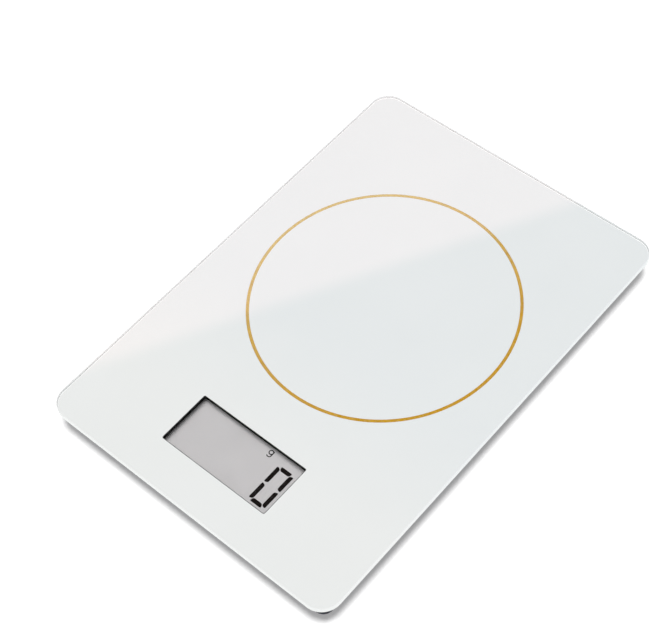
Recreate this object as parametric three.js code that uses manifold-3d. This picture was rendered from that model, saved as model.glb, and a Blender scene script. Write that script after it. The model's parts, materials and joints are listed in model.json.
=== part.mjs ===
// A slim kitchen scale: a white glass platform with a printed ring and a display window, on a dark
// plastic housing that stands on four sprung feet, each under its own load cell.
// Millimetres, +Z up, +Y from the display edge towards the far edge. The origin is on the table,
// under the middle of the platform.
import * as THREE from 'three';
import { mergeVertices } from 'three/addons/utils/BufferGeometryUtils.js';
import Module from 'manifold-3d';

const wasm = await Module();
wasm.setup();

// ---- Driving dimensions ----

const PLATFORM = { width: 150, depth: 215, corner: 9 };
const GLASS_THICKNESS = 3;
const GLASS_ARRIS = 0.5;
const TOTAL_HEIGHT = 16;

const WINDOW = { width: 55, depth: 24.75, corner: 0.75, fromFront: 31 };
const WINDOW_RECESS = 2.5;
const RING = { radius: 57.5, width: 1.5, fromFront: 123 };

const FILM_THICKNESS = 0.5;
const INK_THICKNESS = 0.25;
const TAPE_THICKNESS = 0.5;
const GROUND_CLEARANCE = 2;
const SHELL = 1.5;
const SIDE_WALL = 2;

const FOOT_SPACING = { across: 94, along: 174 };
const FOOT_TRAVEL = 0.5;
const KEY_FROM_FRONT = 22;
const KEY_TRAVEL = 0.8;
const CELL_FROM_FRONT = 137.5;

const GAP = 0.3;
const EMBED = 0.5; // how far joined shapes reach into each other
const CUT_PAST = 1; // how far a cutting shape reaches past the face that it opens

// ---- Levels and places worked out from them ----

const FRONT_Y = -PLATFORM.depth / 2;
const GLASS_BOTTOM = TOTAL_HEIGHT - GLASS_THICKNESS;
const FILM_BOTTOM = GLASS_BOTTOM - FILM_THICKNESS;
const DECK_TOP = FILM_BOTTOM - TAPE_THICKNESS;
const DECK_BOTTOM = DECK_TOP - SHELL;
const COVER_TOP = GROUND_CLEARANCE + SHELL;
const COVER_PAD_TOP = COVER_TOP + 1;
const BOARD_BOTTOM = COVER_TOP + 0.5;
const BOARD_TOP = BOARD_BOTTOM + 1.25;
const LCD_TOP = GLASS_BOTTOM - WINDOW_RECESS;

const WINDOW_Y = FRONT_Y + WINDOW.fromFront;
const RING_Y = FRONT_Y + RING.fromFront;
const KEY_Y = FRONT_Y + KEY_FROM_FRONT;
const BAY_Y = FRONT_Y + CELL_FROM_FRONT;

// ---- Sizes of the sub-parts ----

const inset = (size, by, corner = size.corner - by) => ({
  width: size.width - 2 * by,
  depth: size.depth - 2 * by,
  corner,
});

const FILM_SHEET = inset(PLATFORM, 0.5);
const DECK = inset(PLATFORM, 1.5, 5);
const TAPE = inset(DECK, 1.5, 2);
const TAPE_WIDTH = 7;
const WALL = inset(PLATFORM, 5.5, 8);
const WALL_INSIDE = inset(WALL, SIDE_WALL);
const COVER = inset(WALL, 1.5);
const LIP = inset(WALL_INSIDE, GAP);
const LIP_HEIGHT = 1.5;
const RIB = { thickness: 1.5, drop: 1.5 };
const RIBS_ALONG = { places: [-22, 22], middleY: 24, length: 122 };
const RIBS_ACROSS = { places: [0, 60], length: 128 };

const LCD = { width: 62, frontDepth: 34, rearDepth: 30, layer: 1 };
const LCD_STRIP = { width: 58, depth: 2, fromEdge: 1.75 };
const BEZEL = { width: 67, depth: 39, top: FILM_BOTTOM - 0.25 };
const BOARD = { width: 72, depth: 56, corner: 1.5, frontY: FRONT_Y + 9.5 };
const BLOB = { x: 0, y: -51, radius: 5, height: 1.4 };

const KEY = { length: 16, bottom: 5.5, top: 9.5, corner: 1.5, proud: 1.5 };
const KEY_FLANGE = { thickness: 1, overhang: 1, below: 0.4, above: 0.5 };
const KEY_STEM = { width: 3, height: 2 };
const KEY_MID_Z = (KEY.bottom + KEY.top) / 2;
const KEY_BOARD = { width: 5, depth: 14 };
const SWITCH = { rearX: 60.75, frontX: 63.75, width: 6, height: 4 };
const PLUNGER = { radius: 1, proud: 1.4, inside: 1 };

const SENSOR = { side: 22, corner: 1, bottom: 6.75, top: 8 };
const SENSOR_BAR = 3;
const TONGUE = { halfWidth: 4.5, nearY: -8, farY: 6, slot: 1.25 };
const GAUGE = { width: 5, depth: 4, y: 3.5, thickness: 0.25 };
const FOOT = { radius: 8, flangeRadius: 9.5, flangeThickness: 1, hubRadius: 3, chamfer: 0.6 };
const FOOT_PAD = { radius: 7, thickness: 1, chamfer: 0.4 };

const COIN_CELL = { radius: 10, height: 3.25, rimWidth: 1.4, edge: 0.4, step: 0.35 };
const CELL_BOTTOM = COVER_TOP;
const CELL_TOP = CELL_BOTTOM + COIN_CELL.height;
const BAY = { width: 24, depth: 26, corner: 0, roofBottom: 7.75, roofTop: 8.75 };
const DOOR = { width: 25.5, depth: 27.5, corner: 1, thickness: 1.25 };
const DOOR_TAB = { x: 7, width: 3, depth: 1, height: 2 };
const DOOR_NOTCH = { width: 9, depth: 2.4, height: 0.7 };
const CONTACT = { width: 4, thickness: 0.4, tabTop: BAY.roofTop + 1 };
const CONTACT_SLOT = { width: 1.2, depth: 5, minusX: -8, plusX: 11.1 };

const SCREW = { shankRadius: 1.1, holeRadius: 1.4, headRadius: 2.5, headHeight: 1, point: 0.8 };
const SCREW_CROSS = { length: 2.8, width: 0.6, depth: 0.6 };
const COVER_SCREW_LENGTH = 6;
const BOARD_SCREW_LENGTH = 4;
const BOSS_RADIUS = 3.25;

const CORNERS = [
  { name: 'front_left', sideX: -1, sideY: -1 },
  { name: 'front_right', sideX: 1, sideY: -1 },
  { name: 'back_left', sideX: -1, sideY: 1 },
  { name: 'back_right', sideX: 1, sideY: 1 },
].map((corner) => ({
  ...corner,
  x: corner.sideX * FOOT_SPACING.across / 2,
  y: corner.sideY * FOOT_SPACING.along / 2,
}));

const COVER_SCREWS = [
  { name: 'left_front', x: -61.5, y: -48 },
  { name: 'right_front', x: 61.5, y: -48 },
  { name: 'left_back', x: -61.5, y: 66 },
  { name: 'right_back', x: 61.5, y: 66 },
  { name: 'rear_left', x: -24, y: 93 },
  { name: 'rear_right', x: 24, y: 93 },
];
const BOARD_SCREWS = [
  { name: 'left', x: -31, y: -48 },
  { name: 'right', x: 31, y: -48 },
];

// ---- Materials ----

const finish = (color, roughness, metalness = 0) =>
  new THREE.MeshStandardMaterial({ color, roughness, metalness });

const FINISH = {
  glass: finish(0xf1f4f3, 0.05),
  film: finish(0xf4f4f2, 0.4),
  ink: finish(0xd9981c, 0.4),
  tape: finish(0x2a2a2c, 0.9),
  housing: finish(0x1d1e26, 0.5),
  bezel: finish(0x0b0b0c, 0.6),
  lcd: finish(0xc4c2c1, 0.25),
  rubber: finish(0x3a3b3e, 0.85),
  board: finish(0x1f6b3c, 0.45),
  epoxy: finish(0x111111, 0.35),
  steel: finish(0xb9bcc0, 0.3, 1),
  nickel: finish(0xd2d0c8, 0.25, 1),
  gauge: finish(0xe8e6dc, 0.6),
  wireRed: finish(0xb3261e, 0.5),
  wireBlack: finish(0x1a1a1a, 0.5),
  wireWhite: finish(0xe6e6e6, 0.5),
};

// ---- Shape helpers ----

function roundedRect({ width, depth, corner }, Kind = THREE.Shape) {
  const x = width / 2 - corner;
  const y = depth / 2 - corner;
  const outline = new Kind();
  outline.absarc(x, y, corner, 0, Math.PI / 2);
  outline.absarc(-x, y, corner, Math.PI / 2, Math.PI);
  outline.absarc(-x, -y, corner, Math.PI, Math.PI * 1.5);
  outline.absarc(x, -y, corner, Math.PI * 1.5, Math.PI * 2);
  outline.closePath();
  return outline;
}

function plate(shape, bottom, top, curveSegments = 3) {
  const geometry = new THREE.ExtrudeGeometry(shape, {
    depth: top - bottom,
    bevelEnabled: false,
    curveSegments,
  });
  return geometry.translate(0, 0, bottom);
}

function roundedPlate(size, bottom, top, curveSegments) {
  return plate(roundedRect(size), bottom, top, curveSegments);
}

function frame(outer, inner, bottom, top) {
  const shape = roundedRect(outer);
  shape.holes.push(roundedRect(inner, THREE.Path));
  return plate(shape, bottom, top);
}

function annulus(innerRadius, outerRadius, bottom, top) {
  const shape = new THREE.Shape();
  shape.absarc(0, 0, outerRadius, 0, Math.PI * 2);
  const hole = new THREE.Path();
  hole.absarc(0, 0, innerRadius, 0, Math.PI * 2);
  shape.holes.push(hole);
  return plate(shape, bottom, top, 30);
}

function block(x0, x1, y0, y1, z0, z1) {
  const box = new THREE.BoxGeometry(x1 - x0, y1 - y0, z1 - z0);
  return box.translate((x0 + x1) / 2, (y0 + y1) / 2, (z0 + z1) / 2);
}

function centredBlock(x, y, width, depth, z0, z1) {
  return block(x - width / 2, x + width / 2, y - depth / 2, y + depth / 2, z0, z1);
}

function post(x, y, radius, bottom, top, segments = 14) {
  const cylinder = new THREE.CylinderGeometry(radius, radius, top - bottom, segments);
  return cylinder.rotateX(Math.PI / 2).translate(x, y, (bottom + top) / 2);
}

// Turns [radius, height] points, which start and end on the axis, about +Z.
function turned(points, segments) {
  const profile = points.map(([radius, height]) => new THREE.Vector2(radius, height));
  return new THREE.LatheGeometry(profile, segments).rotateX(Math.PI / 2);
}

// ---- Boolean helpers ----

function toSolid(geometry) {
  const bare = geometry.clone();
  bare.deleteAttribute('normal');
  bare.deleteAttribute('uv');
  const merged = mergeVertices(bare, 1e-4);
  return new wasm.Manifold(new wasm.Mesh({
    numProp: 3,
    vertProperties: new Float32Array(merged.attributes.position.array),
    triVerts: new Uint32Array(merged.index.array),
  }));
}

function toGeometry(solid) {
  const mesh = solid.getMesh();
  const geometry = new THREE.BufferGeometry();
  geometry.setAttribute('position', new THREE.BufferAttribute(mesh.vertProperties, 3));
  geometry.setIndex(new THREE.BufferAttribute(mesh.triVerts, 1));
  geometry.computeVertexNormals();
  return geometry;
}

const join = (geometries) => geometries.map(toSolid).reduce((whole, piece) => whole.add(piece));

function cut(solid, geometries) {
  return geometries.map(toSolid).reduce((rest, piece) => rest.subtract(piece), solid);
}

// ---- The assembly ----

const scale = new THREE.Group();

function place(name, shape, material, x = 0, y = 0, z = 0) {
  const geometry = shape.isBufferGeometry ? shape : toGeometry(shape);
  const mesh = new THREE.Mesh(geometry, material);
  mesh.name = name;
  mesh.position.set(x, y, z);
  scale.add(mesh);
}

// Toughened glass plate with its edges eased all round.
function addGlass() {
  const glass = new THREE.ExtrudeGeometry(roundedRect(PLATFORM), {
    depth: GLASS_THICKNESS - 2 * GLASS_ARRIS,
    bevelThickness: GLASS_ARRIS,
    bevelSize: GLASS_ARRIS,
    bevelOffset: -GLASS_ARRIS,
    bevelSegments: 2,
    curveSegments: 5,
  });
  place('glass_platform', glass, FINISH.glass, 0, 0, GLASS_BOTTOM + GLASS_ARRIS);
}

// White backing film under the glass, with the display window cut out and a groove for the ring.
function addBackingFilm() {
  const film = toSolid(roundedPlate(FILM_SHEET, FILM_BOTTOM, GLASS_BOTTOM, 4));
  const window = roundedPlate(WINDOW, FILM_BOTTOM - CUT_PAST, GLASS_BOTTOM + CUT_PAST);
  const inner = RING.radius - RING.width / 2;
  const outer = RING.radius + RING.width / 2;
  const inkBottom = GLASS_BOTTOM - INK_THICKNESS;
  const groove = annulus(inner - GAP, outer + GAP, inkBottom, GLASS_BOTTOM + CUT_PAST);
  const cuts = [window.translate(0, WINDOW_Y, 0), groove.translate(0, RING_Y, 0)];
  place('backing_film', cut(film, cuts), FINISH.film);
  place('ring_print', annulus(inner, outer, inkBottom, GLASS_BOTTOM), FINISH.ink, 0, RING_Y);
}

function addTape() {
  const hole = inset(TAPE, TAPE_WIDTH, TAPE.corner);
  place('adhesive_tape', frame(TAPE, hole, DECK_TOP, FILM_BOTTOM), FINISH.tape);
}

// ---- Housing ----

// Walls of the pocket that a load cell sits in, and the two bars that it bears on.
function sensorPocket(corner) {
  const top = DECK_BOTTOM + EMBED;
  const inside = inset({ width: SENSOR.side, depth: SENSOR.side }, -GAP, 0.5);
  const walls = frame(inset(inside, -SHELL, 1), inside, SENSOR.bottom, top);
  const barY = (SENSOR.side - SENSOR_BAR) / 2;
  const barLength = inside.width + 2 * EMBED;
  const bars = [-barY, barY].map((y) => centredBlock(0, y, barLength, SENSOR_BAR, SENSOR.top, top));
  return [walls, ...bars].map((piece) => piece.translate(corner.x, corner.y, 0));
}

function stiffeningRibs() {
  const levels = [DECK_BOTTOM - RIB.drop, DECK_BOTTOM + EMBED];
  const { middleY } = RIBS_ALONG;
  const along = RIBS_ALONG.places.map((x) =>
    centredBlock(x, middleY, RIB.thickness, RIBS_ALONG.length, ...levels));
  const across = RIBS_ACROSS.places.map((y) =>
    centredBlock(0, y, RIBS_ACROSS.length, RIB.thickness, ...levels));
  return [...along, ...across];
}

// Upper shell: the deck that carries the glass, the side walls, and everything moulded inside them.
function addUpperHousing() {
  const top = DECK_BOTTOM + EMBED;
  const shell = [
    roundedPlate(DECK, DECK_BOTTOM, DECK_TOP),
    frame(WALL, WALL_INSIDE, COVER_TOP, top),
    ...CORNERS.flatMap(sensorPocket),
    ...stiffeningRibs(),
    ...COVER_SCREWS.map(({ x, y }) => post(x, y, BOSS_RADIUS, COVER_PAD_TOP, top)),
    ...BOARD_SCREWS.map(({ x, y }) => post(x, y, BOSS_RADIUS, BOARD_TOP, top)),
  ];
  const bezelHole = inset(BEZEL, -GAP);
  const keyHalf = KEY.length / 2 + GAP;
  const pilots = [COVER_TOP - CUT_PAST, DECK_BOTTOM - 0.5];
  const openings = [
    centredBlock(0, WINDOW_Y, bezelHole.width, bezelHole.depth, DECK_BOTTOM - RIB.drop, DECK_TOP + CUT_PAST),
    block(WALL_INSIDE.width / 2 - CUT_PAST, WALL.width / 2 + CUT_PAST, KEY_Y - keyHalf, KEY_Y + keyHalf,
      KEY.bottom - GAP, KEY.top + GAP),
    ...[...COVER_SCREWS, ...BOARD_SCREWS].map(({ x, y }) => post(x, y, SCREW.holeRadius, ...pilots, 8)),
  ];
  place('upper_housing', cut(join(shell), openings), FINISH.housing);
}

// Lower shell: a flat cover with a lip, holes for feet and screws, and the coin cell's bay.
function addBottomCover() {
  const floor = COVER_TOP - EMBED;
  const bayOutside = inset(BAY, -SHELL);
  const shell = [
    roundedPlate(COVER, GROUND_CLEARANCE, COVER_TOP),
    frame(LIP, inset(LIP, SHELL), floor, COVER_TOP + LIP_HEIGHT),
    centredBlock(0, BAY_Y, bayOutside.width, bayOutside.depth, floor, BAY.roofTop),
    ...COVER_SCREWS.map(({ x, y }) => post(x, y, BOSS_RADIUS, floor, COVER_PAD_TOP)),
  ];
  const below = GROUND_CLEARANCE - CUT_PAST;
  const counterboreTop = GROUND_CLEARANCE + SCREW.headHeight;
  const boardScrewHead = BOARD_BOTTOM - SCREW.headHeight - GAP;
  const doorway = inset(DOOR, -GAP);
  const { minusX, plusX, width, depth } = CONTACT_SLOT;
  const hole = (radius, bottom, top, segments) => ({ x, y }) => post(x, y, radius, bottom, top, segments);
  const openings = [
    ...CORNERS.map(hole(FOOT.radius + GAP, below, COVER_TOP + CUT_PAST, 20)),
    ...COVER_SCREWS.map(hole(SCREW.holeRadius, below, COVER_PAD_TOP + CUT_PAST, 8)),
    ...COVER_SCREWS.map(hole(SCREW.headRadius + GAP, below, counterboreTop, 16)),
    ...BOARD_SCREWS.map(hole(SCREW.headRadius + GAP, boardScrewHead, COVER_TOP + CUT_PAST, 16)),
    centredBlock(0, BAY_Y, BAY.width, BAY.depth, below, BAY.roofBottom),
    centredBlock(0, BAY_Y, doorway.width, doorway.depth, below, COVER_TOP),
    ...[minusX, plusX].map((x) =>
      centredBlock(x, BAY_Y, width, depth, BAY.roofBottom - CUT_PAST, BAY.roofTop + CUT_PAST)),
  ];
  place('bottom_cover', cut(join(shell), openings), FINISH.housing);
}

// ---- Display ----

// Black frame that carries the display glass and forms the dark walls of the window's recess.
function addDisplayBezel() {
  const body = toSolid(centredBlock(0, 0, BEZEL.width, BEZEL.depth, BOARD_TOP, BEZEL.top));
  const opening = roundedPlate(inset(WINDOW, -GAP), LCD_TOP - CUT_PAST, FILM_BOTTOM);
  const lcdRoom = inset({ width: LCD.width, depth: LCD.frontDepth }, -GAP);
  const pocket = centredBlock(0, 0, lcdRoom.width, lcdRoom.depth, BOARD_TOP - CUT_PAST, LCD_TOP);
  place('display_bezel', cut(body, [opening, pocket]), FINISH.bezel, 0, WINDOW_Y);
}

// Two bonded glass layers. The front one overhangs the rear one to show its contacts to the strip.
function addDisplayPanel() {
  const middle = LCD_TOP - LCD.layer;
  const front = centredBlock(0, 0, LCD.width, LCD.frontDepth, middle, LCD_TOP);
  const rearY = (LCD.frontDepth - LCD.rearDepth) / 2;
  const rear = centredBlock(0, rearY, LCD.width, LCD.rearDepth, middle - LCD.layer, middle);
  place('display_panel', join([front, rear]), FINISH.lcd, 0, WINDOW_Y);
  const stripY = LCD_STRIP.fromEdge - LCD.frontDepth / 2;
  const strip = centredBlock(0, stripY, LCD_STRIP.width, LCD_STRIP.depth, BOARD_TOP, middle);
  place('display_connector_strip', strip, FINISH.rubber, 0, WINDOW_Y);
}

// ---- Electronics ----

function addMainBoard() {
  const midY = BOARD.frontY + BOARD.depth / 2;
  const board = roundedPlate(BOARD, BOARD_BOTTOM, BOARD_TOP).translate(0, midY, 0);
  const holes = BOARD_SCREWS.map(({ x, y }) =>
    post(x, y, SCREW.holeRadius, BOARD_BOTTOM - CUT_PAST, BOARD_TOP + CUT_PAST, 12));
  place('main_board', cut(toSolid(board), holes), FINISH.board);
  const { radius, height } = BLOB;
  const dome = turned([
    [0, 0],
    [radius, 0],
    [radius * 0.9, height * 0.5],
    [radius * 0.6, height * 0.86],
    [0, height],
  ], 24);
  place('chip_epoxy_blob', dome, FINISH.epoxy, BLOB.x, BLOB.y, BOARD_TOP);
}

// Stamped steel plate: a U-shaped slot frees a tongue, which the foot bends.
function addLoadCell(corner) {
  const square = { width: SENSOR.side, depth: SENSOR.side, corner: SENSOR.corner };
  const sensor = toSolid(roundedPlate(square, SENSOR.bottom, SENSOR.top));
  const levels = [SENSOR.bottom - CUT_PAST, SENSOR.top + CUT_PAST];
  const { halfWidth, nearY, farY, slot } = TONGUE;
  const slotX = halfWidth + slot / 2;
  const sides = [-slotX, slotX].map((x) =>
    centredBlock(x, (nearY + farY) / 2, slot, farY - nearY, ...levels));
  const end = centredBlock(0, nearY, 2 * (halfWidth + slot), slot, ...levels);
  place(`load_cell_${corner.name}`, cut(sensor, [...sides, end]), FINISH.steel, corner.x, corner.y);
  const gaugeTop = SENSOR.top + GAUGE.thickness;
  const gauge = centredBlock(0, GAUGE.y, GAUGE.width, GAUGE.depth, SENSOR.top, gaugeTop);
  place(`strain_gauge_${corner.name}`, gauge, FINISH.gauge, corner.x, corner.y);
}

// Foot cup held behind the cover by its flange, with a hub that reaches up to the load cell's tongue.
function addFoot(corner) {
  const segments = 20;
  const cupBottom = FOOT_PAD.thickness;
  const flangeBottom = COVER_TOP + GAP;
  const flangeTop = flangeBottom + FOOT.flangeThickness;
  const hubTop = SENSOR.bottom - FOOT_TRAVEL - 0.1;
  const cup = turned([
    [0, cupBottom],
    [FOOT.radius - FOOT.chamfer, cupBottom],
    [FOOT.radius, cupBottom + FOOT.chamfer],
    [FOOT.radius, flangeBottom],
    [FOOT.flangeRadius, flangeBottom],
    [FOOT.flangeRadius, flangeTop],
    [FOOT.hubRadius, flangeTop],
    [FOOT.hubRadius, hubTop],
    [0, hubTop],
  ], segments);
  place(`foot_${corner.name}`, cup, FINISH.housing, corner.x, corner.y);
  const { radius, thickness, chamfer } = FOOT_PAD;
  const pad = turned([
    [0, 0],
    [radius - chamfer, 0],
    [radius, chamfer],
    [radius, thickness],
    [0, thickness],
  ], segments);
  place(`foot_pad_${corner.name}`, pad, FINISH.rubber, corner.x, corner.y);
}

// ---- Key and its switch ----

// Push key in the right-hand wall: cap outside, flange behind the wall, stem towards the switch.
function addKey() {
  const capOuterX = WALL.width / 2 + KEY.proud;
  const flangeOuterX = WALL_INSIDE.width / 2 - GAP;
  const flangeInnerX = flangeOuterX - KEY_FLANGE.thickness;
  const stemTipX = SWITCH.frontX + PLUNGER.proud + GAP;
  const face = { width: KEY.top - KEY.bottom, depth: KEY.length, corner: KEY.corner };
  const cap = roundedPlate(face, 0, capOuterX - flangeInnerX, 4)
    .rotateY(Math.PI / 2)
    .translate(flangeInnerX, KEY_Y, KEY_MID_Z);
  const flangeHalf = KEY.length / 2 + KEY_FLANGE.overhang;
  const flange = block(flangeInnerX, flangeOuterX, KEY_Y - flangeHalf, KEY_Y + flangeHalf,
    KEY.bottom - KEY_FLANGE.below, KEY.top + KEY_FLANGE.above);
  const stemX = (stemTipX + flangeInnerX + EMBED) / 2;
  const stemLength = flangeInnerX + EMBED - stemTipX;
  const stem = centredBlock(stemX, KEY_Y, stemLength, KEY_STEM.width,
    KEY_MID_Z - KEY_STEM.height / 2, KEY_MID_Z + KEY_STEM.height / 2);
  place('side_key', join([cap, flange, stem]), FINISH.housing);
}

function addKeySwitch() {
  const midX = (SWITCH.rearX + SWITCH.frontX) / 2;
  const board = centredBlock(midX, KEY_Y, KEY_BOARD.width, KEY_BOARD.depth, BOARD_BOTTOM, BOARD_TOP);
  place('key_board', board, FINISH.board);
  const body = centredBlock(midX, KEY_Y, SWITCH.frontX - SWITCH.rearX, SWITCH.width,
    BOARD_TOP, BOARD_TOP + SWITCH.height);
  const rod = (radius, x0, x1) => new THREE.CylinderGeometry(radius, radius, x1 - x0, 16)
    .rotateZ(Math.PI / 2)
    .translate((x0 + x1) / 2, KEY_Y, KEY_MID_Z);
  const plungerRearX = SWITCH.frontX - PLUNGER.inside;
  const bore = rod(PLUNGER.radius + GAP, plungerRearX - KEY_TRAVEL, SWITCH.frontX + CUT_PAST);
  place('key_switch_body', cut(toSolid(body), [bore]), FINISH.epoxy);
  const plunger = rod(PLUNGER.radius, plungerRearX, SWITCH.frontX + PLUNGER.proud);
  place('key_switch_plunger', plunger, FINISH.wireWhite);
}

// ---- Coin cell, its contacts and its door ----

// The can's wide face is down; the narrower cap stands a step above its rim.
function addCoinCell() {
  const { radius, height, rimWidth, edge, step } = COIN_CELL;
  const can = turned([
    [0, 0],
    [radius - edge, 0],
    [radius, edge],
    [radius, height - 2 * step],
    [radius - rimWidth, height - step],
    [radius - rimWidth - 0.2, height],
    [0, height],
  ], 24);
  place('coin_cell', can, FINISH.nickel, 0, BAY_Y, CELL_BOTTOM);
}

// A bent strip: the outline is drawn in the XZ plane and given its width along Y.
function strip(points) {
  const outline = new THREE.Shape(points.map(([x, z]) => new THREE.Vector2(x, z)));
  const solid = new THREE.ExtrudeGeometry(outline, { depth: CONTACT.width, bevelEnabled: false });
  return solid.rotateX(Math.PI / 2).translate(0, BAY_Y + CONTACT.width / 2, 0);
}

// One sprung arm over the middle of the cell, and one kinked blade against its rim.
function addCellContacts() {
  const { thickness, tabTop } = CONTACT;
  const half = thickness / 2;
  const { minusX, plusX } = CONTACT_SLOT;
  const shoulder = minusX + 3;
  const padEnd = 3;
  const high = BAY.roofBottom - GAP;
  const low = CELL_TOP + GAP;
  place('cell_contact_minus', strip([
    [minusX - half, tabTop],
    [minusX - half, high - thickness],
    [shoulder, high - thickness],
    [0, low],
    [padEnd, low],
    [padEnd, low + thickness],
    [half, low + thickness],
    [shoulder + half, high],
    [minusX + half, high],
    [minusX + half, tabTop],
  ]), FINISH.steel);
  const kinkX = COIN_CELL.radius + GAP;
  const kinkZ = CELL_TOP - 1.2;
  const bladeBottom = CELL_BOTTOM + 1;
  place('cell_contact_plus', strip([
    [plusX - half, tabTop],
    [plusX - half, CELL_TOP],
    [kinkX, kinkZ],
    [plusX - half, bladeBottom],
    [plusX + half, bladeBottom],
    [kinkX + thickness, kinkZ],
    [plusX + half, CELL_TOP],
    [plusX + half, tabTop],
  ]), FINISH.steel);
}

// Snap-in door with upright tabs along two sides and a notch for a fingernail.
function addDoor() {
  const top = GROUND_CLEARANCE + DOOR.thickness;
  const panel = roundedPlate(DOOR, GROUND_CLEARANCE, top);
  const tabY = BAY.depth / 2 - GAP - DOOR_TAB.depth / 2;
  const tabs = [-DOOR_TAB.x, DOOR_TAB.x].flatMap((x) => [-tabY, tabY].map((y) =>
    centredBlock(x, y, DOOR_TAB.width, DOOR_TAB.depth, top - EMBED, top + DOOR_TAB.height)));
  const notch = centredBlock(0, -DOOR.depth / 2, DOOR_NOTCH.width, DOOR_NOTCH.depth,
    GROUND_CLEARANCE - CUT_PAST, GROUND_CLEARANCE + DOOR_NOTCH.height);
  place('battery_door', cut(join([panel, ...tabs]), [notch]), FINISH.housing, 0, BAY_Y);
}

// ---- Screws ----

function screw(length) {
  const { shankRadius, headRadius, headHeight, point } = SCREW;
  const blank = turned([
    [0, 0],
    [headRadius, 0],
    [headRadius, headHeight - 0.2],
    [shankRadius, headHeight - 0.1],
    [shankRadius, headHeight + length - point],
    [0, headHeight + length],
  ], 12);
  const arm = centredBlock(0, 0, SCREW_CROSS.length, SCREW_CROSS.width, -CUT_PAST, SCREW_CROSS.depth);
  return cut(toSolid(blank), [arm, arm.clone().rotateZ(Math.PI / 2)]);
}

function addScrews() {
  for (const { name, x, y } of COVER_SCREWS) {
    place(`cover_screw_${name}`, screw(COVER_SCREW_LENGTH), FINISH.steel, x, y, GROUND_CLEARANCE);
  }
  for (const { name, x, y } of BOARD_SCREWS) {
    const headZ = BOARD_BOTTOM - SCREW.headHeight;
    place(`board_screw_${name}`, screw(BOARD_SCREW_LENGTH), FINISH.steel, x, y, headZ);
  }
}

// ---- Leads, each a round tube through points chosen to pass the ribs, bosses and boards ----

const BUNDLE_RADIUS = 0.9;
const SINGLE_RADIUS = 0.5;
const BELOW_RIBS_Z = 6.5;
const OVER_BOARD_Z = 8.8;
const SOLDER_Y = BOARD.frontY + BOARD.depth - 3;
const SOLDER_Z = BOARD_TOP + BUNDLE_RADIUS + GAP;

function lead(name, points, radius, material) {
  const route = new THREE.CatmullRomCurve3(points.map((point) => new THREE.Vector3(...point)));
  const section = new THREE.Shape();
  section.absarc(0, 0, radius, 0, Math.PI * 2);
  const tube = new THREE.ExtrudeGeometry(section, {
    steps: 4 * (points.length - 1),
    extrudePath: route,
    curveSegments: 3,
    bevelEnabled: false,
  });
  place(name, tube, material);
}

function addSensorLead({ name, sideX, sideY, x, y }) {
  const leaveY = y - sideY * (SENSOR.side / 2 + 3.6);
  const start = [x, leaveY, SENSOR.top - 0.4];
  const outside = x + sideX * 7;
  const fromBack = [
    start,
    [outside, 60, BELOW_RIBS_Z],
    [outside, -16, BELOW_RIBS_Z],
    [sideX * 26, SOLDER_Y + 13, BELOW_RIBS_Z],
    [sideX * 15, SOLDER_Y, SOLDER_Z],
  ];
  const fromFront = [
    start,
    [x - sideX * 2, leaveY + 18, BELOW_RIBS_Z],
    [sideX * 30, SOLDER_Y + 4, BELOW_RIBS_Z + GAP],
    [sideX * 24, SOLDER_Y, SOLDER_Z],
  ];
  lead(`sensor_lead_${name}`, sideY > 0 ? fromBack : fromFront, BUNDLE_RADIUS, FINISH.wireWhite);
}

function addKeyLead() {
  lead('key_lead', [
    [62, KEY_Y + 9, 6],
    [55, -60, OVER_BOARD_Z],
    [36, -42, OVER_BOARD_Z],
    [14, -41, OVER_BOARD_Z],
    [9, SOLDER_Y, SOLDER_Z],
  ], SINGLE_RADIUS, FINISH.wireBlack);
}

function addCellLead(name, tabX, solderX, material) {
  const overBay = BAY.roofTop + SINGLE_RADIUS + GAP;
  const tabY = BAY_Y - CONTACT.width / 2 - SINGLE_RADIUS - GAP;
  const bayFront = BAY_Y - BAY.depth / 2 - SHELL;
  lead(name, [
    [tabX, tabY, overBay],
    [tabX, bayFront - 1, overBay],
    [tabX, bayFront - 8, 7],
    [tabX, -20, BELOW_RIBS_Z],
    [solderX, SOLDER_Y, SOLDER_Z],
  ], SINGLE_RADIUS, material);
}

addGlass();
addBackingFilm();
addTape();
addUpperHousing();
addBottomCover();
addDisplayBezel();
addDisplayPanel();
addMainBoard();
CORNERS.forEach(addLoadCell);
CORNERS.forEach(addFoot);
addKey();
addKeySwitch();
addCoinCell();
addCellContacts();
addDoor();
addScrews();
CORNERS.forEach(addSensorLead);
addKeyLead();
addCellLead('cell_lead_minus', CONTACT_SLOT.minusX, -3, FINISH.wireBlack);
addCellLead('cell_lead_plus', CONTACT_SLOT.plusX, 3, FINISH.wireRed);

export default scale;
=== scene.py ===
"""Looks for a slim kitchen scale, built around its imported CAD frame. Metres, +Z up, +Y to the far edge."""
import json
import math

import bmesh
import bpy
from mathutils import Matrix, Vector


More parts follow.
